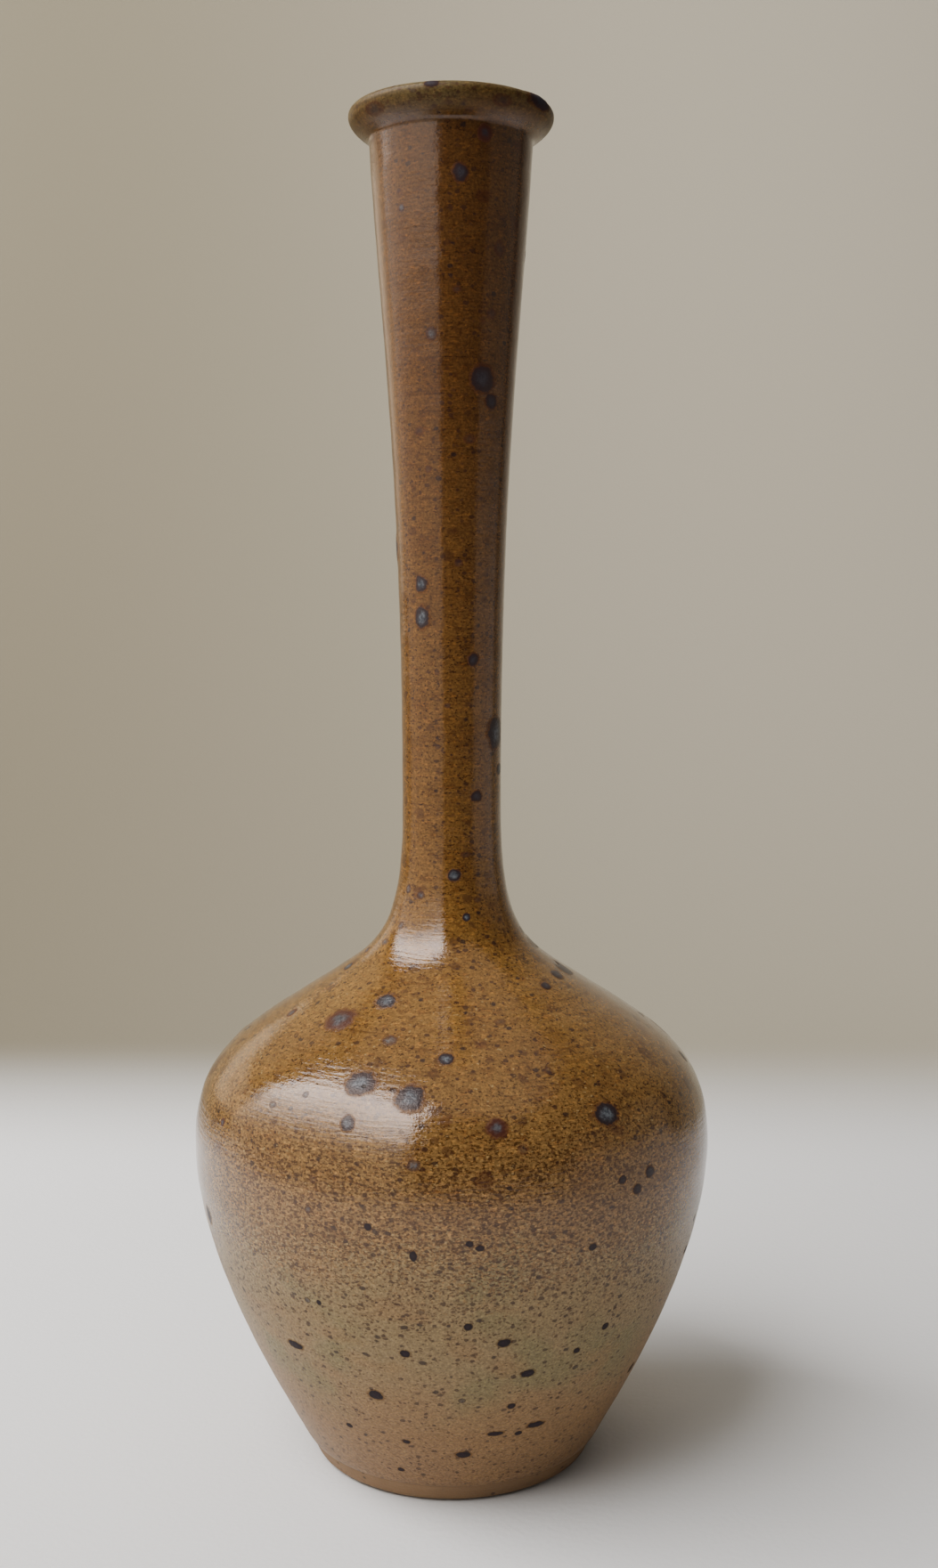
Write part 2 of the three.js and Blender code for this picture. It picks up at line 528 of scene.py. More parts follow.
def mix(share, a, b, kind="RGBA", blend="MIX"):
    """Two colours or vectors mixed by a share. A colour is three numbers or a Wire."""
    a, b = (source if isinstance(source, Wire) else (*source, 1) for source in (a, b))
    node = put(share.tree, "ShaderNodeMix", share, a, b, data_type=kind, blend_type=blend)
    return Wire(share.tree, next(s for s in node.outputs if s.enabled))


def shaded(colour, share, tone):
    """A colour multiplied by a tone, by a share."""
    return mix(share, colour, tone, blend="MULTIPLY")


def ramp(share, stops):
    """A colour for each share from 0 to 1, from a list of (share, colour) stops."""
    node = put(share.tree, "ShaderNodeValToRGB", share)
    elements = node.color_ramp.elements
    for place, colour in stops[1:-1]:
        elements.new(place).color = (*colour, 1)
    elements[0].position, elements[0].color = stops[0][0], (*stops[0][1], 1)
    elements[-1].position, elements[-1].color = stops[-1][0], (*stops[-1][1], 1)
    return out(node)


def noise(place, scale, detail=2.0, roughness=0.5):
    """Noise from 0 to 1. Its grains are about 1 / scale metres across."""
    return wire(place.tree, "ShaderNodeTexNoise", place, scale, detail, roughness)


def cells(place, scale):
    """Voronoi cells: the distance to the nearest one's centre, and its two random values."""
    node = put(place.tree, "ShaderNodeTexVoronoi", place, scale)
    chance = put(place.tree, "ShaderNodeSeparateColor", out(node, "Color"))
    return out(node, "Distance"), out(chance, "Red"), out(chance, "Green")


def flattened(place, factor):
    """The same places, stretched in height, so that a pattern on them lies flat."""
    return wire(place.tree, "ShaderNodeMapping", place, None, None, (1, 1, factor))


# %% The colours of the glaze by height
HEIGHT = cad_box[1].z
# Heights in millimetres. The thin glaze shows the clay through it, the thick glaze is amber.
THIN_GLAZE = [
    (0, (0.19, 0.111, 0.053)),
    (8, (0.193, 0.112, 0.053)),
    (20, (0.199, 0.114, 0.048)),
    (30, (0.211, 0.129, 0.058)),
    (44, (0.21, 0.15, 0.075)),
    (90, (0.222, 0.156, 0.07)),
]
THICK_GLAZE = [
    (40, (0.18, 0.103, 0.038)),
    (78, (0.182, 0.104, 0.038)),
    (96, (0.146, 0.08, 0.025)),
    (110, (0.132, 0.068, 0.0175)),
    (118, (0.147, 0.076, 0.0185)),
    (140, (0.125, 0.061, 0.0145)),
    (200, (0.1, 0.047, 0.012)),
    (270, (0.069, 0.029, 0.007)),
    (322, (0.063, 0.027, 0.0068)),
    (325.5, (0.066, 0.038, 0.0115)),
    (328, (0.073, 0.051, 0.019)),
    (330, (0.08, 0.06, 0.025)),
]


def by_height(height, colours):
    """A colour ramp over the height of the vase."""
    return ramp(height / HEIGHT, [(mm * MM / HEIGHT, tone) for mm, tone in colours])


# %% [markdown]
# ## Specks
#
# Every iron grain in the clay has left a speck. Voronoi cells scatter them: each cell has a
# centre, and a random value that says whether it holds a speck and how large it is. The cells
# are shifted by fine noise first, so that no speck is round, and squashed a little, because
# the glaze ran along the throwing lines.

# %% Specks in the glaze
def specks(place, colour, scale, crowd, reach, cover, tone):
    """Specks of a tone over a colour. Crowd is the share of the cells that hold one."""
    distance, chance, size = cells(place, scale)
    empty = chance.math("GREATER_THAN", crowd)
    edge = (size * 0.75 + 0.25) * reach
    inside = (distance - edge).rising(0.05, -0.08) * (empty * -1.0 + 1.0)
    return mix(inside * cover, colour, tone)


def shaken(place, scale, far):
    """Places shaken by noise, so that what is drawn on them has a ragged edge."""
    shake = wire(place.tree, "ShaderNodeTexNoise", place, scale, 2.0, output="Color")
    return wire(
        place.tree, "ShaderNodeVectorMath", shake, (far, far, far), place,
        operation="MULTIPLY_ADD",
    )


# %% The glaze, as one node group
def glaze_group():
    tree = bpy.data.node_groups.new("Speckled glaze", "ShaderNodeTree")
    for label in ("Colour", "Roughness", "Shine", "Relief"):
        kind = "NodeSocketColor" if label == "Colour" else "NodeSocketFloat"
        tree.interface.new_socket(label, in_out="OUTPUT", socket_type=kind)
    place = place_in(tree)
    height = xyz(place)[2]
    drift = (noise(place, 34.0, 3.0) - 0.5) * 0.014
    height_here = height + drift

    # Where the glaze thins, it breaks up grain by grain: amber dots that grow sparse.
    grain = noise(flattened(place, 1.25), 1150.0, 2.0, 0.6)
    thickness = height_here.rising(0.036, 0.098)
    dots = (grain + thickness * 0.62 - 0.31).rising(0.44, 0.58)
    thick = dots * 0.8 + thickness * 0.2
    thin_colour = by_height(height_here, THIN_GLAZE)
    # Patches of greenish ash and of pink lie in the thin glaze.
    ash = noise(place, 48.0, 2.0).rising(0.5, 0.64) * height_here.rising(0.02, 0.04)
    thin_colour = mix(ash * 0.7, thin_colour, (0.16, 0.136, 0.062))
    pink = noise(flattened(place, 1.6), 70.0, 2.0).rising(0.5, 0.68)
    thin_colour = mix(pink * 0.5, thin_colour, (0.215, 0.125, 0.054))
    thick_colour = by_height(height_here, THICK_GLAZE)

    # The amber has streaks along the throwing lines: ochre breaks and darker brown pools.
    flat = flattened(place, 2.6)
    breaks = noise(flat, 620.0, 3.0, 0.65).rising(0.52, 0.68)
    thick_colour = shaded(thick_colour, breaks * 0.7, (1.75, 1.6, 1.45))
    pools = noise(flat, 380.0, 3.0, 0.65).rising(0.5, 0.34)
    thick_colour = shaded(thick_colour, pools * 0.55, (0.55, 0.42, 0.34))
    clouds = noise(place, 85.0, 4.0, 0.6).rising(0.46, 0.68)
    thick_colour = shaded(thick_colour, clouds * 0.35, (0.66, 0.54, 0.46))
    colour = mix(thick, thin_colour, thick_colour)

    # Thin level streaks of painted shade and painted light, standing in for the throwing lines
    # catching and losing the light.
    amber = height.rising(0.07, 0.09)
    level = noise(flattened(place, 34), 50.0, 2.0, 0.6)
    painted_line_shade, painted_line_light = level.rising(0.43, 0.3) * amber, level.rising(0.58, 0.72) * amber
    colour = shaded(colour, painted_line_shade * 0.5, (0.55, 0.45, 0.38))
    colour = shaded(colour, painted_line_light * 0.4, (1.4, 1.35, 1.3))

    # Iron grains, packed where the glaze breaks up and loose below it.
    packed = height_here.rising(0.05, 0.074) * height_here.rising(0.108, 0.086)
    loose = height_here.rising(0.072, 0.04)
    grains = noise(flattened(place, 1.7), 1150.0, 2.0, 0.6)
    grains = (grains + packed * 0.07 - loose * 0.035).rising(0.59, 0.635)
    seen = height.rising(0.2, 0.26) * -0.35 + 0.85
    colour = shaded(colour, grains * seen, (0.27, 0.2, 0.13))
    pale = noise(flattened(place, 1.5), 1350.0, 2.0, 0.6).rising(0.54, 0.62)
    pale = pale * (packed * 0.6 + 0.3)
    colour = shaded(colour, pale, (1.6, 1.58, 1.5))
    fine = noise(place, 1700.0, 2.0, 0.6).rising(0.3, 0.7)
    colour = shaded(colour, fine, (1.28, 1.28, 1.24))
    colour = shaded(colour, fine * -1.0 + 1.0, (0.76, 0.74, 0.72))

    # Fine specks, crowded where the glaze breaks, then larger brown ones and rust blots.
    ragged = shaken(flattened(place, 1.35), 1000.0, 0.0009)
    band = height.rising(0.04, 0.062) * height.rising(0.1, 0.078)
    colour = specks(ragged, colour, 1000.0, band * 0.5 + 0.12, 0.55, 0.7, (0.05, 0.021, 0.008))
    colour = specks(ragged, colour, 560.0, band * 0.25 + 0.3, 0.42, 0.8, (0.03, 0.012, 0.006))
    colour = specks(ragged, colour, 310.0, 0.32, 0.28, 0.85, (0.018, 0.009, 0.007))
    soft = shaken(flattened(place, 1.2), 500.0, 0.0018)
    colour = specks(soft, colour, 250.0, amber * 0.5, 0.38, 0.5, (0.035, 0.012, 0.005))
    colour = specks(soft, colour, 130.0, amber * 0.25, 0.34, 0.5, (0.04, 0.009, 0.004))

    # Pale flecks, where a bubble has burst or ash has stayed.
    flecks = noise(flattened(place, 1.8), 900.0, 1.0).rising(0.69, 0.76)
    flecks = flecks * height.rising(0.15, 0.1) * 0.5
    colour = mix(flecks, colour, (0.34, 0.24, 0.1))

    # Glossy where the glaze is thick, dry where it thins and on the lip, which drained. The
    # surface is like orange peel.
    dry = height_here.rising(0.082, 0.05)
    lip, neck = height.rising(0.3225, 0.3265), height.rising(0.125, 0.19)
    rough = dry * 0.34 + lip * 0.28 + neck * 0.07 + noise(place, 420.0, 2.0) * 0.05 + 0.065
    shine = dry * -0.38 - lip * 0.5 + 0.65
    peel = noise(place, 230.0, 2.0) * (neck * 0.5 + 0.6) + noise(place, 95.0, 1.0) * 1.6
    dashes = noise(flattened(place, 9), 190.0, 3.0, 0.6) * 0.9
    smooth = (dry * -0.7 + 1.0) * (neck * -0.8 + 1.0)
    relief = peel + dashes * smooth + fine * (dry * 0.5 + 0.12)
    return closed(tree, colour, rough, shine, relief)


GLAZE_GROUP = glaze_group()
print("glaze group:", len(GLAZE_GROUP.nodes), "nodes")

# %% [markdown]
# ## From the group to a shader
#
# A material needs a surface shader. The Principled shader covers glaze and clay alike: colour,
# roughness and a bump are all that differ. One helper ends each material, so that every finish
# is built alike. The outer glaze also says how strongly it shines. Iron crystals just under its
# surface warm its reflections a little, so they have a tint.

# %% Materials with a surface
GLAZE_RELIEF = 0.00009
GLAZE_TINT = (1.0, 0.84, 0.78, 1)


def surface(colour, roughness, relief, depth, shine=None, normal=None):
    """Ends a material: a Principled shader with this colour, roughness and bumped relief."""
    tree = colour.tree
    shader = put(tree, "ShaderNodeBsdfPrincipled")
    bump = put(tree, "ShaderNodeBump")
    bump.inputs["Strength"].default_value = 1.0
    bump.inputs["Distance"].default_value = depth
    if shine:
        shader.inputs["Specular Tint"].default_value = GLAZE_TINT
    for source, node, name in (
        (relief, bump, "Height"),
        (shine, shader, "Specular IOR Level"),
        (normal, bump, "Normal"),
        (colour, shader, "Base Color"),
        (roughness, shader, "Roughness"),
        (out(bump, "Normal"), shader, "Normal"),
    ):
        if source:
            tree.links.new(source.socket, node.inputs[name])
    put(tree, "ShaderNodeOutputMaterial", out(shader))
    place_nodes(tree)


def new_material(name):
    """An empty material and its node tree."""
    material = bpy.data.materials.new(name)
    material.use_nodes = True
    material.node_tree.nodes.clear()
    return material, material.node_tree


def glaze_in(tree):
    """The glaze group in a material's tree, as its four outputs."""
    group = put(tree, "ShaderNodeGroup", node_tree=GLAZE_GROUP)
    return [out(group, name) for name in ("Colour", "Roughness", "Shine", "Relief")]


def glaze_material():
    material, tree = new_material("speckled_amber_glaze")
    colour, rough, shine, relief = glaze_in(tree)
    surface(colour, rough, relief, GLAZE_RELIEF, shine)
    return material


amber_glaze = glaze_material()
print("material:", amber_glaze.name)

# %% [markdown]
# ## The coat of glaze
#
# The glaze is a real coat, half a millimetre thick, that follows the clay. It starts in a
# rounded edge just above the foot, climbs the belly and the neck, turns over the lip and ends a
# little way down the bore. It is made as one piece, so no seam breaks its shine. Its outer face
# has fine rows that can hold the throwing lines, and its back against the clay has few.

# %% The outline of the lip
EDGE_RADIUS = 1.2
ROOT_RISE = 1.3
UNDERSIDE_RISE = 32
ROOT_FILLET = 1.2
LIP_STEP = 0.4


def lip_line(step):
    """The clay from the top of the neck, out under the lip, round its edge and into the bore."""
    centre = Vector((widest("lip") - EDGE_RADIUS, lip_top - EDGE_RADIUS))
    edge = arc(centre, EDGE_RADIUS, 0, 90, step)
    root = neck_top + heading(TOP_LEAN) * ROOT_RISE
    outward = heading(90 - UNDERSIDE_RISE)
    below, beyond = root - heading(TOP_LEAN) * ROOT_FILLET, root + outward * ROOT_FILLET
    corner = meeting(root, outward, edge[0], heading(0))
    crest = Vector(((mouth_top.x + centre.x) / 2, lip_top))
    roll = meeting(mouth_top, heading(TOP_LEAN), crest, Vector((1, 0)))
    return joined(
        [neck_top],
        bend(below, root, beyond, step),
        bend(beyond, corner, edge[0], step),
        edge,
        even_steps(lambda t: edge[-1].lerp(crest, t), step),
        bend(crest, roll, mouth_top, step),
    )


# %% Turn the coat of glaze
BELLY_STEP, SHOULDER_STEP, NECK_STEP, BACK_STEP = 0.9, 0.5, 0.38, 8
GLAZE_COLUMNS = 112
EDGE_REACH = 4.0
DIP_DEPTH = 6


def foot_wall(height):
    """A point on the clay between the table and the top of the foot."""
    return Vector((foot_top.x - (foot_top.y - height) * math.tan(math.radians(FOOT_LEAN)), height))


def glaze_line(belly_step, shoulder_step, neck_step, lip_step):
    """The clay under the outer glaze, from the glaze line to its end down the bore."""
    low = even_steps(lambda t: foot_wall(GLAZE_LINE).lerp(foot_top, t), lip_step)
    bore = [p for p in reversed(clay_inside) if mouth_top.y - DIP_DEPTH < p.y]
    return joined(low, *wall_line(belly_step, shoulder_step, neck_step), lip_line(lip_step), bore)


def coat(points, full):
    """The face of a coat on these points. It is rounded off to nothing at both ends."""
    along = [0.0]
    for a, b in zip(points, points[1:]):
        along.append(along[-1] + (b - a).length)
    depths = []
    for s in along:
        inward = min(s, along[-1] - s) / EDGE_REACH
        depths.append(full * math.sqrt(max(0, 1 - max(0, 1 - inward) ** 2)))
    return offset(points, depths)


def mark_strength(point):
    """How strongly the throwing marks show: clear on the shoulder, fainter up and down."""
    low = min(max((point.y - 30) / 50, 0), 1)
    neck = min(max((point.y - 125) / 50, 0), 1)
    high = min(max((neck_top.y - point.y) / 6, 0), 1)
    return (0.25 + 0.75 * low) * (1 - 0.5 * neck) * high


front = coat(glaze_line(BELLY_STEP, SHOULDER_STEP, NECK_STEP, LIP_STEP), GLAZE)
back = glaze_line(BACK_STEP, BACK_STEP, BACK_STEP, 1.5)[::-1]
coat_outline = front + back[1:]
coat_marks = [mark_strength(p) for p in front] + [0.0] * (len(back) - 1)
glaze_coat = turn_piece(
    "glaze_coat", coat_outline, amber_glaze, GLAZE_COLUMNS, coat_marks,
    line_depth=0.000009, line_pitch=0.00152, swell_depth=0.00005, unevenness=0.0005,
)

# %% [markdown]
# ## Iron spots
#
# Iron in the clay melts through the glaze in firing and leaves blisters: slate blue and glossy
# at the heart, nearly black round the rim, often with a rusty halo. They are the vase's
# character, so the main ones are placed one by one, and a seeded draw fills the sides and the
# back. Painting them in the glaze would need a texture or a test for every spot at every point.
# Each is a low lens instead, laid on the glaze by a geometry tree. The lens carries its own
# coordinates, so its material knows where the heart and the rim are. Past the rim it fades into
# the same glaze group and takes on the normal of the glaze under it, so its edge can't be seen.

# %% The tree that lays the spots
LENS_SIDES, LENS_RINGS = 14, 4
SINK = 0.00003
BURY = 0.00012


def spot_tree():
    tree, given = new_tree("Iron spots", [
        ("Spots", "NodeSocketObject", None),
        ("Surface", "NodeSocketObject", None),
        ("Material", "NodeSocketMaterial", None),
    ])
    spots, wall = (
        wire(tree, "GeometryNodeObjectInfo", out(given, name), output="Geometry")
        for name in ("Spots", "Surface")
    )

    def vector(name):
        return attribute(tree, name, "FLOAT_VECTOR")

    # One lens, a low closed cone with rings, which keeps its own coordinates.
    lens = wire(
        tree, "GeometryNodeMeshCone", LENS_SIDES, LENS_RINGS, 1, 0.0, 1.0, 1.0,
        fill_type="TRIANGLE_FAN", output="Mesh",
    )
    position = wire(tree, "GeometryNodeInputPosition")
    lens = store(lens, "in_spot", position, "FLOAT_VECTOR")
    facing = wire(
        tree, "FunctionNodeAxesToRotation", vector("facing"), vector("sideways"),
        primary_axis="Z", secondary_axis="X",
    )
    laid = wire(
        tree, "GeometryNodeInstanceOnPoints", spots, None, lens, None, None, facing,
        vector("spot_size"),
    )
    laid = wire(tree, "GeometryNodeRealizeInstances", laid)

    # Each point drops onto the glaze and rises by the lens's own height there.
    x, y, z = xyz(vector("in_spot"))
    out_from_heart = x * x + y * y
    dome = (out_from_heart * -1.0 + 1.0).math("POWER", 1.5) * attribute(tree, "rise")
    under = z.math("LESS_THAN", 0.01) * out_from_heart.math("LESS_THAN", 0.5)
    lift = dome * (under * -1.0 + 1.0) - under * BURY - SINK
    nearest = wire(tree, "GeometryNodeProximity", wall, target_element="FACES")
    normal = wire(tree, "GeometryNodeInputNormal")
    outward = wire(
        tree, "GeometryNodeSampleNearestSurface", wall, normal, data_type="FLOAT_VECTOR"
    )
    laid = store(laid, "glaze_normal", outward, "FLOAT_VECTOR")
    push = scaled(vector("glaze_normal"), lift)
    laid = wire(tree, "GeometryNodeSetPosition", laid, None, nearest, push)
    laid = wire(tree, "GeometryNodeSetShadeSmooth", laid)
    laid = wire(tree, "GeometryNodeSetMaterial", laid, None, out(given, "Material"))
    return closed(tree, laid)


SPOT_TREE = spot_tree()
print("spot tree:", len(SPOT_TREE.nodes), "nodes")

# %% [markdown]
# ## What a spot looks like
#
# A few looks cover what the kiln made. A look is three numbers: how pale the heart is, how rusty
# the rim is, and how strongly the whole spot covers the glaze. They ride on each spot as a
# vector, and the noise differs from place to place, so no two are alike.

# %% The spot's material
LOOKS = {
    "slate": (0.8, 0.2, 1.0),
    "pinholed": (1.0, 0.3, 1.0),
    "rusty": (0.5, 1.0, 0.95),
    "lilac": (0.7, 0.5, 0.7),
    "dark": (0.14, 0.3, 1.0),
    "ink": (0.0, 0.1, 1.0),
    "faint": (0.0, 1.0, 0.5),
    "burnt": (0.1, 1.0, 0.95),
}


def spot_material():
    material, tree = new_material("iron_spots_in_glaze")
    glaze, glaze_rough, glaze_shine, glaze_relief = glaze_in(tree)
    place = place_in(tree)

    def carried(name):
        return wire(tree, "ShaderNodeAttribute", attribute_name=name, output="Vector")

    # How far out a point is, 0 at the heart and 1 at the lens's edge, with a ragged outline.
    x, y, _ = xyz(carried("in_spot"))
    pale, rusty, cover = xyz(carried("look"))
    ragged = (noise(place, 520.0, 3.0, 0.6) - 0.5) * 0.5
    reach = (x * x + y * y).math("SQRT") + ragged

    # The colours from the heart out: mottled blue-grey, slate, nearly black, then the halo.
    mottle = noise(place, 1500.0, 2.0, 0.7).rising(0.35, 0.68)
    heart = mix(mottle, (0.03, 0.035, 0.044), (0.125, 0.14, 0.155))
    heart = mix(pale, (0.022, 0.015, 0.02), heart)
    rim = mix(rusty, (0.014, 0.013, 0.016), (0.045, 0.013, 0.009))
    spot = mix(reach.rising(0.1, 0.46), heart, rim)
    halo = mix(rusty * 0.4 + 0.35, glaze, (0.055, 0.016, 0.009))
    spot = mix(reach.rising(0.5, 0.6), spot, halo)
    covered = reach.rising(0.8, 0.6) * cover
    colour = mix(covered, glaze, spot)

    # The blisters that burst have a pinhole beside the heart: a dip in the relief, with painted
    # shade inside it, nearly black.
    hole = ((x - 0.17) * (x - 0.17) + (y + 0.16) * (y + 0.16)).rising(0.011, 0.004)
    hole = hole * pale.math("GREATER_THAN", 0.9)
    colour = mix(hole, colour, (0.004, 0.003, 0.003))
    rough = glaze_rough + covered * 0.2
    shine = glaze_shine * (covered * -0.55 + 1.0)
    relief = glaze_relief + mottle * covered * (pale * 0.4 + 0.1) - hole
    shaped = wire(tree, "ShaderNodeNewGeometry", output="Normal")
    normal = mix(covered, carried("glaze_normal"), shaped, "VECTOR")
    surface(colour, rough, relief, GLAZE_RELIEF, shine, normal)
    return material


iron_spots = spot_material()
print("material:", iron_spots.name)

# %% [markdown]
# ## Placing the spots
#
# A spot is placed as a potter would point it out: so many degrees round from the front, so
# high above the table, so wide and so tall. The lens is made larger than the spot, to leave
# room for its halo.

# %% The spots on the front, listed
# Degrees round to the right from the front, height, width and length in millimetres, look.
FRONT_SPOTS = [
    # the lip
    (58, 328.6, 9, 6, "dark"), (-10, 329, 3.4, 2.6, "dark"), (-20, 328, 2.4, 2, "faint"),
    (30, 326.5, 5, 3, "faint"), (-48, 326, 6, 3.4, "faint"),
    # the neck
    (7, 311, 3.6, 4, "dark"), (-38, 304, 2, 2, "lilac"), (-40, 308, 2.2, 1.8, "faint"),
    (24, 320, 3.4, 3.4, "burnt"), (40, 295, 3.4, 4, "faint"), (-16, 275, 2.8, 3.4, "lilac"),
    (29, 265, 6.2, 6.2, "dark"), (39, 260, 3.4, 3.6, "dark"), (18, 251, 3.4, 2.4, "faint"),
    (-33, 217, 3.4, 4, "slate"), (-33, 209, 4, 5.2, "slate"), (25, 199, 3, 3, "dark"),
    (-16, 196, 2.2, 2.8, "faint"), (62, 181, 6.5, 7.5, "slate"), (-15, 178, 2.2, 2, "faint"),
    (30, 166, 3, 2.6, "dark"), (16, 152, 3, 1.8, "faint"), (3, 147, 3.2, 3, "slate"),
    (-51, 143, 2.2, 2.2, "lilac"), (-33, 142, 2.4, 2, "lilac"), (27, 141, 2.6, 2, "faint"),
    (14, 137, 2, 2, "slate"), (-50, 134, 2.2, 2.2, "lilac"), (-61, 130, 2.6, 2.2, "lilac"),
    (5, 285, 2.6, 2.2, "faint"), (35, 280, 3, 3, "faint"), (-30, 253, 3, 2.4, "faint"),
    (-22, 244, 2.6, 2.2, "faint"), (8, 222, 2.6, 2.4, "faint"), (-4, 188, 2.4, 1.8, "faint"),
    # the shoulder
    (67, 122, 4, 3.4, "dark"), (50, 121, 3, 2.4, "dark"), (-28, 119, 5, 4.6, "slate"),
    (-42, 115, 7, 6.6, "rusty"), (-66, 119, 3, 2.4, "faint"), (-19, 113, 3.4, 3, "lilac"),
    (-1, 110, 3.4, 3.4, "slate"), (-22, 105, 7, 6.2, "pinholed"), (-9, 103, 6.2, 6.6, "slate"),
    (-35, 102, 2, 2, "lilac"), (-43, 99, 2.2, 2, "lilac"), (-22, 98, 3.2, 3.6, "slate"),
    (-58, 92, 2, 2, "rusty"), (10, 98, 4.2, 4, "rusty"), (36, 98, 6.4, 5, "slate"),
    (15, 94, 3, 2.6, "faint"), (-7, 91, 3, 2.4, "lilac"), (-28, 86, 2.6, 2.2, "faint"),
    (45, 84, 3, 2.4, "dark"), (41, 81, 2.6, 2.4, "dark"), (37, 84, 2.2, 2, "dark"),
    (18, 116, 3.2, 2.2, "faint"), (-10, 97, 2.2, 1.8, "faint"), (26, 107, 2.6, 2.4, "faint"),
    # the lower belly
    (-29, 79, 2.1, 1.9, "lilac"), (-22, 75, 1.8, 1.7, "faint"), (-16, 77, 1.8, 1.7, "ink"),
    (-7, 71, 1.8, 2.6, "ink"), (4, 74, 1.8, 1.5, "ink"), (6, 73, 2, 1.5, "ink"),
    (30, 70, 2.1, 1.7, "ink"), (33, 71, 1.8, 1.7, "faint"), (-32, 56, 2, 1.7, "lilac"),
    (-29, 56, 1.5, 1.5, "ink"), (-6, 57, 2.5, 2.1, "faint"), (4, 54, 2, 1.9, "ink"),
    (38, 48, 2, 1.9, "ink"), (-40, 42, 4.6, 2.2, "ink"), (-10, 46, 2.6, 2.1, "ink"),
    (12, 49, 3.3, 2.4, "ink"), (31, 43, 2, 1.7, "ink"), (19, 39, 3.4, 2.1, "ink"),
    (63, 28, 2.8, 2.6, "ink"), (-8, 35, 2.1, 1.7, "faint"), (-19, 33, 3.8, 2.8, "ink"),
    (3, 33, 2, 1.7, "lilac"), (16, 30, 2.1, 1.7, "ink"), (-31, 21, 1.8, 1.5, "ink"),
    (25, 23, 4.4, 1.9, "ink"), (20, 21, 1.8, 1.5, "ink"), (13, 22, 3.6, 1.5, "ink"),
    (-13, 20, 2, 1.5, "ink"), (4, 16, 3.4, 2.2, "ink"), (-17, 9, 1.8, 1.5, "ink"),
]
print("spots placed by hand:", len(FRONT_SPOTS))

# %% Spots drawn at random for the sides and the back
SEED, HIDDEN_SPOTS = 11, 150
FRONT_HALF_ANGLE = 68
LOWEST_SPOT, LOW_SPOTS_BELOW = 12, 75


def spots_out_of_sight():
    """Spots past the ones listed. A wall that is wider gets more of them."""
    draw = random.Random(SEED)
    wall = [p for p in joined(*wall_line(2, 2, 2)) if p.y > LOWEST_SPOT]
    spots = []
    for _ in range(HIDDEN_SPOTS):
        place = draw.choices(wall, weights=[p.x for p in wall])[0]
        turn = draw.uniform(FRONT_HALF_ANGLE, 360 - FRONT_HALF_ANGLE)
        low = place.y < LOW_SPOTS_BELOW
        names = ["ink", "lilac", "faint"] if low else ["slate", "rusty", "lilac", "dark", "faint"]
        weights = [6, 2, 3] if low else [4, 1, 3, 3, 5]
        look = draw.choices(names, weights=weights)[0]
        width = draw.uniform(1.8, 3.4) + (draw.random() ** 4) * 4
        spots.append((turn, place.y, width, width * draw.uniform(0.7, 1.1), look))
    return spots


back_spots = spots_out_of_sight()
print("spots drawn at random:", len(back_spots))

# %% Lay the spots on the glaze
HALO_ROOM = 1.75
RISE_SHARE = 0.035
FLAT = 0.0001


def lay_spots(spots):
    lip = [p for p in lip_line(0.5) if p.x > neck_top.x + 0.1]
    wall = joined(*wall_line(1, 1, 1), lip)
    points, facings, sideways, sizes, looks, rises = [], [], [], [], [], []
    for turn, height, width, length, look in spots:
        i = min(range(1, len(wall) - 1), key=lambda k: abs(wall[k].y - height))
        here, way = wall[i], (wall[i + 1] - wall[i - 1]).normalized()
        angle = math.radians(turn - 90)
        outward = Vector((math.cos(angle), math.sin(angle), 0))
        points.append((outward * (here.x + GLAZE) + Vector((0, 0, here.y))) * MM)
        facings.append(outward * way.y + Vector((0, 0, -way.x)))
        sideways.append(Vector((-math.sin(angle), math.cos(angle), 0)))
        half = HALO_ROOM / 2 * MM
        sizes.append((width * half, length * half, FLAT))
        looks.append(LOOKS[look])
        rises.append(width * MM * RISE_SHARE * LOOKS[look][2])
    helper = helper_mesh("spot_places", points, [], {
        "facing": ("FLOAT_VECTOR", facings),
        "sideways": ("FLOAT_VECTOR", sideways),
        "spot_size": ("FLOAT_VECTOR", sizes),
        "look": ("FLOAT_VECTOR", looks),
        "rise": ("FLOAT", rises),
    })
    piece = run_tree("iron_spots", SPOT_TREE, {
        "Spots": helper, "Surface": glaze_coat, "Material": iron_spots,
    })
    bpy.data.objects.remove(helper)
    for name in ("facing", "sideways", "spot_size", "rise"):
        piece.data.attributes.remove(piece.data.attributes[name])
    return piece


spots_piece = lay_spots(FRONT_SPOTS + back_spots)
print("iron spots:", len(spots_piece.data.polygons), "faces")

# %% [markdown]
# ## Clay
#
# The clay shows only at the foot, where it is left bare to stand on, but the wall under the
# glaze is made too, so that the vase is whole when someone cuts it open. Fired stoneware is
# dry and granular, paler inside than where the flame has toasted it.

# %% Clay materials
CLAY_RELIEF = 0.00012


def clay_material(name, pale, dark, iron):
    """Bare fired clay: two tones in soft clouds, dark grains of iron, a fine dry grain."""
    material, tree = new_material(name)
    place = place_in(tree)
    clouds = noise(place, 70.0, 4.0, 0.6).rising(0.35, 0.65)
    colour = mix(clouds, pale, dark)
    grit = noise(place, 1400.0, 2.0, 0.7)
    colour = shaded(colour, grit.rising(0.55, 0.75) * 0.35, (1.35, 1.3, 1.2))
    distance, chance, size = cells(place, 480.0)
    grain = (distance - size * 0.3).rising(0.04, -0.08) * chance.math("GREATER_THAN", 0.6)
    colour = mix(grain * 0.8, colour, iron)
    turned = noise(flattened(place, 9), 240.0, 2.0)
    rough = grit * 0.2 + 0.62
    surface(colour, rough, grit * 0.7 + turned, CLAY_RELIEF)
    return material


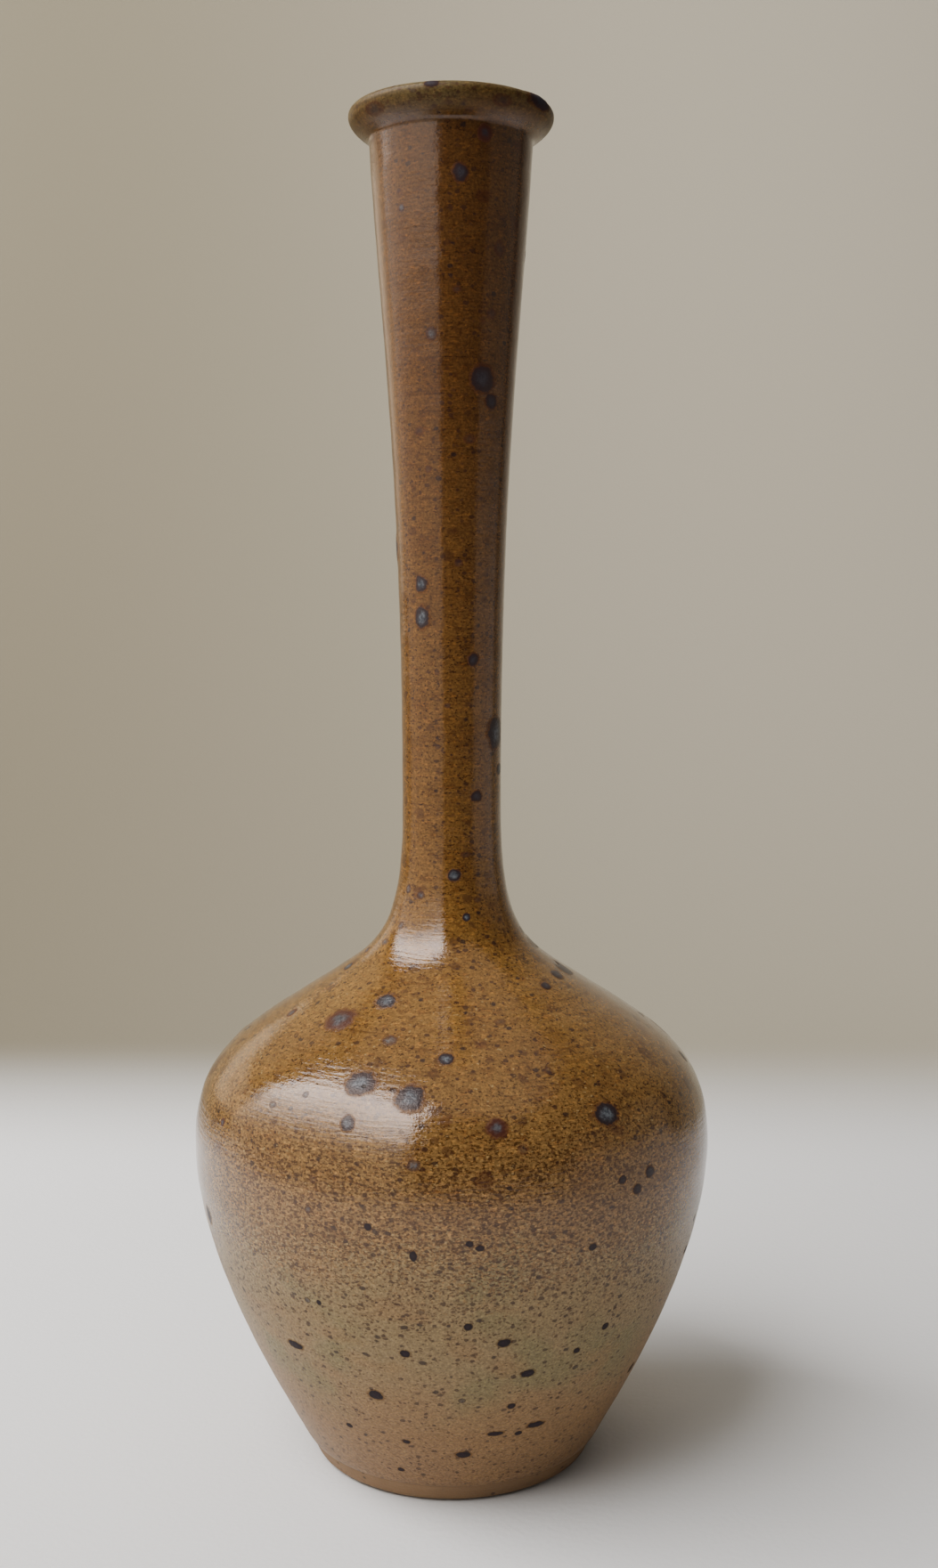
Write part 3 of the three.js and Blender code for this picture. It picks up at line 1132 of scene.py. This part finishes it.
toasted_clay = clay_material(
    "toasted_clay", (0.21, 0.121, 0.054), (0.18, 0.102, 0.045), (0.03, 0.016, 0.01)
)
buff_clay = clay_material("buff_clay", (0.36, 0.26, 0.16), (0.3, 0.2, 0.12), (0.06, 0.035, 0.02))
print("clays:", toasted_clay.name, buff_clay.name)

# %% [markdown]
# ## The foot
#
# The base is trimmed when the clay is leather-hard: a flat ring to stand on, a shallow recess
# inside it and a small bevel outside, so that the edge doesn't chip. Trimming leaves a spiral
# of fine lines, which the turning tree gives. Inside the vase the floor is flat and sweeps up
# into the wall.

# %% Turn the foot
RING_WIDTH, RECESS_DEPTH, RECESS_SLOPE, BEVEL = 7, 2.5, 2, 1
FLOOR, FLOOR_FILLET = 8, 9
EASE = 0.35
FOOT_COLUMNS = 144


def eased(points, step):
    """A line through corner points, each corner rounded a little."""
    line = [points[0]]
    for before, corner, after in zip(points, points[1:], points[2:]):
        a = corner + (before - corner).normalized() * EASE
        b = corner + (after - corner).normalized() * EASE
        line = joined(line, even_steps(lambda t, s=line[-1], e=a: s.lerp(e, t), step))
        line = joined(line, bend(a, corner, b, EASE / 3))
    return joined(line, even_steps(lambda t: line[-1].lerp(points[-1], t), step))


ring_outside = foot_wall(0).x - BEVEL
ring_inside = ring_outside - RING_WIDTH
under = eased([
    Vector((0, RECESS_DEPTH)),
    Vector((ring_inside - RECESS_SLOPE, RECESS_DEPTH)),
    Vector((ring_inside, 0)),
    Vector((ring_outside, 0)),
    foot_wall(BEVEL),
    foot_top,
], 0.9)
wall_start = clay_inside[0]
floor_corner = meeting(wall_start, heading(FOOT_LEAN), Vector((0, FLOOR)), Vector((1, 0)))
floor_edge = floor_corner - Vector((FLOOR_FILLET, 0))
floor_line = joined(
    even_steps(lambda t: Vector((0, FLOOR)).lerp(floor_edge, t), 3),
    bend(floor_edge, floor_corner, wall_start, 1.5),
)
foot_outline = joined(under, floor_line[::-1])
foot_marks = [0.6 if p.y < RECESS_DEPTH + 0.1 else 0.0 for p in foot_outline]
foot_piece = turn_piece(
    "turned_foot", foot_outline, toasted_clay, FOOT_COLUMNS, foot_marks,
    line_depth=0.00004, line_pitch=0.0027,
)

# %% [markdown]
# ## The clay under the glaze, and the liner
#
# The belly, shoulder, neck and lip are closed rings of clay that meet face to face, as they
# were luted. The liner glaze is poured in and out again, so it is thin, even and brown, and it
# covers the floor and the whole bore up to where the outer glaze was dipped.

# %% Turn the clay sections
CLAY_COLUMNS = 96
inside_runs, start = [], 0
for run in sections:
    inside_runs.append(clay_inside[start:start + len(run)])
    start += len(run) - 1
clay_pieces = {}
for name, outside, inside in zip(("belly", "shoulder", "neck"), sections, inside_runs):
    outline = outside + inside[::-1] + [outside[0]]
    clay_pieces[name] = turn_piece("thrown_" + name, outline, buff_clay, CLAY_COLUMNS)
lip_outline = joined(lip_line(LIP_STEP), [mouth_top, neck_top])
clay_pieces["lip"] = turn_piece("thrown_lip", lip_outline, buff_clay, CLAY_COLUMNS)


# %% Turn the liner
LINER_RELIEF = 0.00008


def liner_material():
    material, tree = new_material("brown_liner_glaze")
    place = place_in(tree)
    clouds = noise(place, 120.0, 3.0).rising(0.35, 0.68)
    colour = mix(clouds, (0.16, 0.075, 0.022), (0.085, 0.038, 0.014))
    distance, chance, size = cells(place, 420.0)
    speck = (distance - size * 0.35).rising(0.04, -0.08) * chance.math("GREATER_THAN", 0.55)
    colour = mix(speck * 0.8, colour, (0.03, 0.014, 0.008))
    peel = noise(place, 300.0, 2.0)
    surface(colour, peel * 0.1 + 0.2, peel, LINER_RELIEF)
    return material


brown_liner = liner_material()
coat_end = back[0]
lined = joined(floor_line, [p for p in clay_inside if p.y <= coat_end.y])
# The liner thins out over its last half millimetre, so that its edge is no ledge.
liner_top = lined.pop()
down = (lined[-1] - liner_top).normalized()
lined += [liner_top + down * below for below in (1.0, 0.5, 0.2)]
liner_face = offset(lined, -LINER)[:-1]
lined.append(liner_top)
liner_face[0].x = 0
liner = turn_piece("liner_glaze", lined + liner_face[::-1], brown_liner, CLAY_COLUMNS)

# %% [markdown]
# ## Putting each piece on the frame
#
# Every piece rides on the frame's one body, because nothing on a vase moves. Each takes the
# place of the plain piece that it stands for, which is hidden.

# %% Ride and replace
finished = [
    (glaze_coat, "outer_glaze", "amber_glaze"),
    (liner, "inner_glaze", "liner_glaze"),
    (foot_piece, "foot", "toasted_clay"),
]
finished += [(piece, node, "buff_clay") for node, piece in clay_pieces.items()]
for piece, node, slot in finished:
    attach(piece, "root")
    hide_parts(node)
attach(spots_piece, "root")
print("pieces riding on the frame:", len(finished) + 1)

# %% [markdown]
# ## The studio
#
# The vase stands on a pale sweep: a white floor that curves up into a beige backdrop, so there
# is no hard line behind it. It is lit as by a tall window on the left, which gives the glaze its
# long clear reflection. A dim ceiling light opens the shoulder, a warm wall on the right draws
# an edge down the neck, and a low card lifts that side of the belly.

# %% The sweep
PAPER_TOOTH = 0.0001


def sweep():
    """A floor that curves up into a backdrop."""
    left, right, front, back, bend_radius, top, steps = -3.0, 2.0, -0.75, 1.3, 0.9, 3.0, 16
    line = [Vector((front, 0)), Vector((back - bend_radius, 0))]
    for i in range(1, steps + 1):
        angle = math.radians(90 * i / steps)
        line.append(Vector((
            back - bend_radius + bend_radius * math.sin(angle),
            bend_radius - bend_radius * math.cos(angle),
        )))
    line.append(Vector((back, top)))
    points = [(side, p.x, p.y) for p in line for side in (left, right)]
    faces = [(2 * i, 2 * i + 1, 2 * i + 3, 2 * i + 2) for i in range(len(line) - 1)]
    mesh = bpy.data.meshes.new("sweep")
    mesh.from_pydata(points, [], faces)
    mesh.shade_smooth()
    floor = add_object("sweep", mesh)
    material, tree = new_material("pale_paper")
    place = place_in(tree)
    x, y, _ = xyz(place)
    # Painted light and shade: the floor is painted lighter on the left, towards the window, and
    # darker to the right; the backdrop is painted darker on the left and lighter to the right.
    behind, painted_light_across = y.rising(0.2, 0.42), x.rising(-0.45, 0.45)
    backdrop = mix(painted_light_across, (0.147, 0.127, 0.084), (0.31, 0.282, 0.222))
    paper = mix(painted_light_across, (0.92, 0.925, 0.95), (0.54, 0.54, 0.545))
    colour = mix(behind, paper, backdrop)
    tooth = noise(place, 600.0, 2.0)
    surface(colour, tooth * 0.1 + 0.8, tooth, PAPER_TOOTH)
    mesh.materials.append(material)
    return floor


sweep()


# %% The lights
def area_light(name, place, aim, width, tall, radiance, colour):
    """A flat light at a place that faces another, this bright to look at."""
    data = bpy.data.lights.new(name, "AREA")
    data.shape, data.size, data.size_y = "RECTANGLE", width, tall
    data.energy, data.color = math.pi * width * tall * radiance, colour
    light = add_object(name, data)
    light.location = place
    light.rotation_euler = (Vector(aim) - light.location).to_track_quat("-Z", "Y").to_euler()
    light.visible_camera = False


def beside(azimuth, distance, height):
    """A place so many degrees round to the right from the camera's side of the vase."""
    angle = math.radians(azimuth)
    return Vector((math.sin(angle) * distance, -math.cos(angle) * distance, height))


# The window is flat and runs from beside the camera to the far left. It is made of panes, dim
# near the ground and brighter towards the sky.
WINDOW_FRONT, WINDOW_BACK = beside(-19, 0.8, 0), beside(-112, 1.9, 0)
WINDOW_ROWS = (
    (0.05, 0.35, 1, 0.9, 0.6, (1.0, 0.97, 0.9)),
    (0.35, 0.62, 4, 1.8, 1.2, (1.0, 0.95, 0.86)),
    (0.62, 0.9, 4, 8.0, 1.7, (1.0, 0.97, 0.93)),
    (0.9, 1.3, 4, 12.5, 6.5, (1.0, 0.975, 0.94)),
    (1.3, 2.4, 2, 12.0, 13.0, (1.0, 0.97, 0.95)),
)
for low, high, columns, front_radiance, back_radiance, colour in WINDOW_ROWS:
    across = (WINDOW_BACK - WINDOW_FRONT) / columns
    facing = Vector((across.y, -across.x, 0)).normalized()
    for column in range(columns):
        share = (column + 0.5) / columns
        middle = WINDOW_FRONT + across * (column + 0.5) + Vector((0, 0, (low + high) / 2))
        radiance = front_radiance + (back_radiance - front_radiance) * share
        area_light(
            "window_pane", middle, middle + facing, across.length, high - low, radiance, colour
        )
area_light("far_wall", beside(-131, 1.3, 0.42), (0, 0, 0.42), 1.0, 0.44, 1.1, (1.0, 0.8, 0.58))
area_light("right_wall", beside(84, 1.2, 0.45), (0, 0, 0.45), 1.3, 0.42, 0.2, (1.0, 0.86, 0.66))
area_light("ceiling", (0, -0.2, 2.4), (0, 0, 0), 2.4, 2.4, 0.45, (1.0, 0.98, 0.95))
area_light("low_card", beside(80, 1.2, 0.12), (0, 0, 0.12), 1.3, 0.24, 0.5, (1.0, 0.92, 0.84))
ROOM_COLOUR, ROOM_STRENGTH = (1, 0.97, 0.93, 1), 0.08
world = bpy.data.worlds.new("room")
world.use_nodes = True
background = world.node_tree.nodes["Background"].inputs
background["Color"].default_value, background["Strength"].default_value = ROOM_COLOUR, ROOM_STRENGTH
bpy.context.scene.world = world

# %% [markdown]
# ## The camera
#
# The camera stands close, a little above the widest point and below the lip, and looks down
# by a few degrees. That is why the lip is seen from beneath while the belly looks heavy.

# %% The camera
CAMERA_DISTANCE, CAMERA_HEIGHT, CAMERA_SIDE = 0.4155, 0.2056, 0.0043
CAMERA_LENS, CAMERA_TILT = 38.5, 5.17
camera_data = bpy.data.cameras.new("camera")
camera_data.lens = CAMERA_LENS
camera_data.clip_start = 0.01
camera = add_object("camera", camera_data)
camera.location = (CAMERA_SIDE, -CAMERA_DISTANCE, CAMERA_HEIGHT)
camera.rotation_euler = (math.radians(90 - CAMERA_TILT), 0, 0)
bpy.context.scene.camera = camera
print("camera:", CAMERA_LENS, "mm lens,", CAMERA_TILT, "degrees down")
